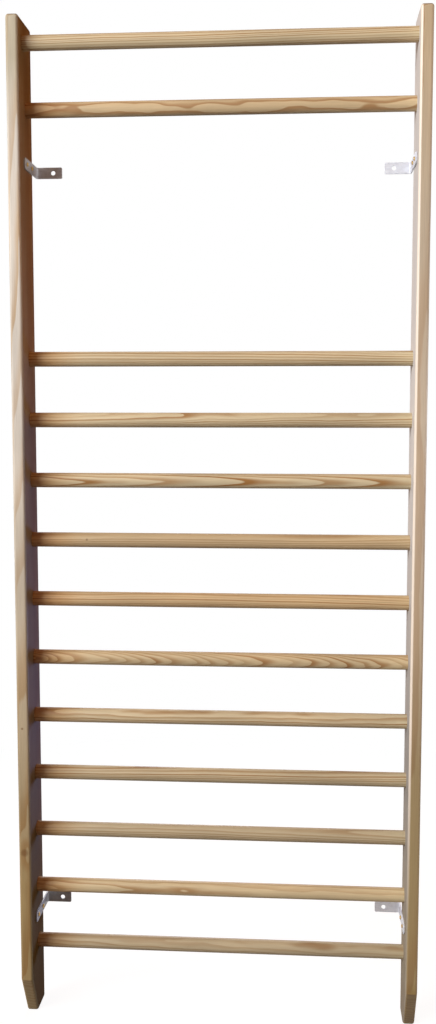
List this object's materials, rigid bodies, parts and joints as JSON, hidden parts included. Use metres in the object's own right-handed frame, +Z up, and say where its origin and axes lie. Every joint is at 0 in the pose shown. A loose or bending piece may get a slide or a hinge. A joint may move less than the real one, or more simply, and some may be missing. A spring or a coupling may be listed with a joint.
{
  "type": "wall bars",
  "caption": "Wooden wall bars: tall pine posts joined by rounded rungs at one pitch, with an open bay below the top, held off a wall by bent steel brackets.",
  "frame": {"origin": "on the floor under the middle of the part: midway between the posts, and midway between the front of the posts and the wall plane", "axes": "+Z up along the posts, X along the rungs with +X to the right as the user sees it, +Y towards the wall"},
  "size_m": [0.9, 0.156, 2.24],
  "materials": {
    "pine_posts": "planed pine, clear satin lacquer",
    "pine_rungs": "turned and sanded pine, clear satin lacquer",
    "zinc_strip": "zinc plated, satin",
    "yellow_screws": "zinc plated and yellow passivated"
  },
  "bodies": {
    "root": {"left_post": "pine_posts", "right_post": "pine_posts", "rung_01": "pine_rungs", "rung_02": "pine_rungs", "rung_03": "pine_rungs", "rung_04": "pine_rungs", "rung_05": "pine_rungs", "rung_06": "pine_rungs", "rung_07": "pine_rungs", "rung_08": "pine_rungs", "rung_09": "pine_rungs", "rung_10": "pine_rungs", "rung_11": "pine_rungs", "rung_12": "pine_rungs", "rung_13": "pine_rungs", "rung_screw_left_01": "yellow_screws", "rung_screw_left_02": "yellow_screws", "rung_screw_left_03": "yellow_screws", "rung_screw_left_04": "yellow_screws", "rung_screw_left_05": "yellow_screws", "rung_screw_left_06": "yellow_screws", "rung_screw_left_07": "yellow_screws", "rung_screw_left_08": "yellow_screws", "rung_screw_left_09": "yellow_screws", "rung_screw_left_10": "yellow_screws", "rung_screw_left_11": "yellow_screws", "rung_screw_left_12": "yellow_screws", "rung_screw_left_13": "yellow_screws", "rung_screw_right_01": "yellow_screws", "rung_screw_right_02": "yellow_screws", "rung_screw_right_03": "yellow_screws", "rung_screw_right_04": "yellow_screws", "rung_screw_right_05": "yellow_screws", "rung_screw_right_06": "yellow_screws", "rung_screw_right_07": "yellow_screws", "rung_screw_right_08": "yellow_screws", "rung_screw_right_09": "yellow_screws", "rung_screw_right_10": "yellow_screws", "rung_screw_right_11": "yellow_screws", "rung_screw_right_12": "yellow_screws", "rung_screw_right_13": "yellow_screws", "upper_left_bracket": "zinc_strip", "upper_right_bracket": "zinc_strip", "lower_left_bracket": "zinc_strip", "lower_right_bracket": "zinc_strip", "upper_left_bracket_screw_1": "yellow_screws", "upper_left_bracket_screw_2": "yellow_screws", "upper_right_bracket_screw_1": "yellow_screws", "upper_right_bracket_screw_2": "yellow_screws", "lower_left_bracket_screw_1": "yellow_screws", "lower_left_bracket_screw_2": "yellow_screws", "lower_right_bracket_screw_1": "yellow_screws", "lower_right_bracket_screw_2": "yellow_screws"}
  },
  "joints": []
}
